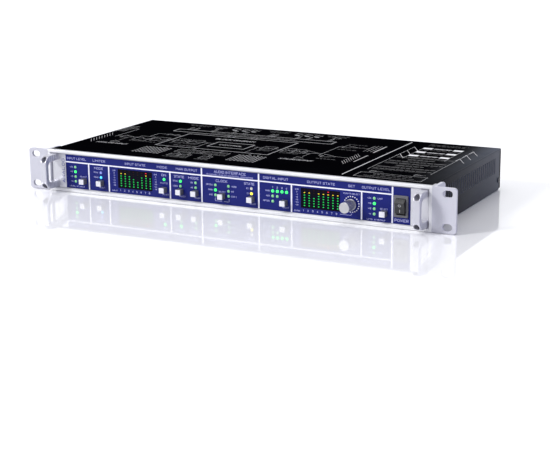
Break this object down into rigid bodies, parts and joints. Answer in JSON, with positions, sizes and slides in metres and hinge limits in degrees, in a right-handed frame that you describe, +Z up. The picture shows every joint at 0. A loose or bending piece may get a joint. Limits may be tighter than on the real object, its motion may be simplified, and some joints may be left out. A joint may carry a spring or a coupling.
{
  "type": "rack audio interface",
  "caption": "One-unit rack audio interface: printed front with bar-graph meters, push buttons and a knob between two pull handles, vented steel case, and a full row of sockets behind.",
  "frame": {"origin": "middle of the width, on the base, in the rack mounting plane, which is the back face of the two ears", "axes": "+X to the right seen from the front, +Y from the front panel to the rear panel, +Z up"},
  "size_m": [0.4826, 0.2437, 0.044],
  "materials": {
    "frame_aluminium": "brushed, clear anodised",
    "handle_aluminium": "satin anodised",
    "ear_aluminium": "satin anodised",
    "fascia_blue": "satin print on aluminium",
    "case_black": "satin powder coat",
    "button_white": "gloss",
    "knob_silver": "turned",
    "switch_grey": "fine moulded texture",
    "switch_black": "satin",
    "meter_black": "gloss window",
    "light_green": "diffused",
    "screw_steel": "plated",
    "screw_black": "black zinc",
    "board_green": "solder resist",
    "supply_parts": "mixed parts",
    "ribbon_grey": "ribbed",
    "wire_brown": "smooth",
    "inlet_grey": "fine moulded texture",
    "pin_nickel": "nickel plated",
    "loop_black": "satin",
    "socket_grey": "moulded",
    "bnc_nickel": "nickel plated",
    "optical_grey": "moulded",
    "dsub_plated": "tin plated",
    "dsub_black": "moulded",
    "jack_black": "moulded",
    "jack_ring": "nickel plated",
    "transceiver_black": "moulded",
    "key_blue": "gloss"
  },
  "bodies": {
    "chassis": {"bnc_sockets": "bnc_nickel", "board_posts": "screw_steel", "board_screws": "screw_steel", "button_switches": "switch_black", "chassis_tray": "case_black", "din_sockets": "socket_grey", "dsub_inserts": "dsub_black", "dsub_jackscrews": "dsub_plated", "dsub_shells": "dsub_plated", "ear_screws": "screw_steel", "encoder_body": "switch_black", "end_blocks": "frame_aluminium", "front_board": "board_green", "front_fascia": "fascia_blue", "front_frame": "frame_aluminium", "handle_left": "handle_aluminium", "handle_right": "handle_aluminium", "handle_screws": "screw_steel", "main_board": "board_green", "mains_inlet": "inlet_grey", "mains_pins": "pin_nickel", "mains_wires": "wire_brown", "meter_modules": "meter_black", "optical_housings": "optical_grey", "option_card_plate": "case_black", "option_transceiver": "transceiver_black", "panel_screws": "screw_black", "power_supply_board": "board_green", "power_supply_parts": "supply_parts", "power_switch_housing": "switch_grey", "rack_ear_left": "ear_aluminium", "rack_ear_right": "ear_aluminium", "raised_boards": "board_green", "rear_panel": "case_black", "remote_socket": "socket_grey", "retainer_bracket": "loop_black", "ribbon_cable": "ribbon_grey", "status_leds": "light_green", "termination_switch": "switch_black", "top_cover": "case_black", "trs_jack_bodies": "jack_black", "trs_jack_nuts": "jack_ring"},
    "button_input_level": {"button_input_level": "button_white"},
    "button_limiter": {"button_limiter": "button_white"},
    "button_mode": {"button_mode": "button_white"},
    "button_output_state": {"button_output_state": "button_white"},
    "button_output_mode": {"button_output_mode": "button_white"},
    "button_clock": {"button_clock": "button_white"},
    "button_lock_state": {"button_lock_state": "button_white"},
    "button_digital_input": {"button_digital_input": "button_white"},
    "button_output_level": {"button_output_level": "button_white"},
    "encoder_plunger": {"encoder_plunger": "screw_steel"},
    "encoder_knob": {"encoder_knob": "knob_silver"},
    "power_rocker": {"power_rocker": "switch_black"},
    "termination_button": {"termination_button": "key_blue"},
    "optical_shutter_out_aux": {"optical_shutter_out_aux": "optical_grey"},
    "optical_shutter_out_main": {"optical_shutter_out_main": "optical_grey"},
    "optical_shutter_in_aux": {"optical_shutter_in_aux": "optical_grey"},
    "optical_shutter_in_main": {"optical_shutter_in_main": "optical_grey"},
    "cord_retainer": {"cord_retainer": "loop_black"}
  },
  "joints": [
    {"name": "press_input_level", "type": "slide", "parent": "chassis", "child": "button_input_level", "axis": [0, 1, 0], "range_m": [0, 0.0005], "stiffness_N_per_m": 3000, "springref_m": -0.0002},
    {"name": "press_limiter", "type": "slide", "parent": "chassis", "child": "button_limiter", "axis": [0, 1, 0], "range_m": [0, 0.0005], "stiffness_N_per_m": 3000, "springref_m": -0.0002},
    {"name": "press_mode", "type": "slide", "parent": "chassis", "child": "button_mode", "axis": [0, 1, 0], "range_m": [0, 0.0005], "stiffness_N_per_m": 3000, "springref_m": -0.0002},
    {"name": "press_output_state", "type": "slide", "parent": "chassis", "child": "button_output_state", "axis": [0, 1, 0], "range_m": [0, 0.0005], "stiffness_N_per_m": 3000, "springref_m": -0.0002},
    {"name": "press_output_mode", "type": "slide", "parent": "chassis", "child": "button_output_mode", "axis": [0, 1, 0], "range_m": [0, 0.0005], "stiffness_N_per_m": 3000, "springref_m": -0.0002},
    {"name": "press_clock", "type": "slide", "parent": "chassis", "child": "button_clock", "axis": [0, 1, 0], "range_m": [0, 0.0005], "stiffness_N_per_m": 3000, "springref_m": -0.0002},
    {"name": "press_lock_state", "type": "slide", "parent": "chassis", "child": "button_lock_state", "axis": [0, 1, 0], "range_m": [0, 0.0005], "stiffness_N_per_m": 3000, "springref_m": -0.0002},
    {"name": "press_digital_input", "type": "slide", "parent": "chassis", "child": "button_digital_input", "axis": [0, 1, 0], "range_m": [0, 0.0005], "stiffness_N_per_m": 3000, "springref_m": -0.0002},
    {"name": "press_output_level", "type": "slide", "parent": "chassis", "child": "button_output_level", "axis": [0, 1, 0], "range_m": [0, 0.0005], "stiffness_N_per_m": 3000, "springref_m": -0.0002},
    {"name": "press_encoder", "type": "slide", "parent": "chassis", "child": "encoder_plunger", "axis": [0, 1, 0], "range_m": [0, 0.0005], "stiffness_N_per_m": 4000, "springref_m": -0.0003},
    {"name": "turn_encoder", "type": "hinge", "parent": "encoder_plunger", "child": "encoder_knob", "pos_m": [0.135, -0.01, 0.0182], "axis": [0, -1, 0], "continuous": true},
    {"name": "rock_power", "type": "hinge", "parent": "chassis", "child": "power_rocker", "pos_m": [0.1861, -0.001, 0.0212], "axis": [-1, 0, 0], "range_deg": [0, 20]},
    {"name": "press_termination", "type": "slide", "parent": "chassis", "child": "termination_button", "axis": [0, -1, 0], "range_m": [0, 0.0015], "stiffness_N_per_m": 1000, "springref_m": -0.0004},
    {"name": "swing_shutter_out_aux", "type": "hinge", "parent": "chassis", "child": "optical_shutter_out_aux", "pos_m": [0.0554, 0.1992, 0.032], "axis": [-1, 0, 0], "range_deg": [0, 80], "stiffness_Nm_per_rad": 0.0003, "springref_deg": -22.92},
    {"name": "swing_shutter_out_main", "type": "hinge", "parent": "chassis", "child": "optical_shutter_out_main", "pos_m": [0.0409, 0.1992, 0.032], "axis": [-1, 0, 0], "range_deg": [0, 80], "stiffness_Nm_per_rad": 0.0003, "springref_deg": -22.92},
    {"name": "swing_shutter_in_aux", "type": "hinge", "parent": "chassis", "child": "optical_shutter_in_aux", "pos_m": [-0.031, 0.1992, 0.032], "axis": [-1, 0, 0], "range_deg": [0, 80], "stiffness_Nm_per_rad": 0.0003, "springref_deg": -22.92},
    {"name": "swing_shutter_in_main", "type": "hinge", "parent": "chassis", "child": "optical_shutter_in_main", "pos_m": [-0.0459, 0.1992, 0.032], "axis": [-1, 0, 0], "range_deg": [0, 80], "stiffness_Nm_per_rad": 0.0003, "springref_deg": -22.92},
    {"name": "swing_cord_loop", "type": "hinge", "parent": "chassis", "child": "cord_retainer", "pos_m": [0.1695, 0.205, 0.023], "axis": [0, 0, 1], "range_deg": [-75, 75]}
  ]
}
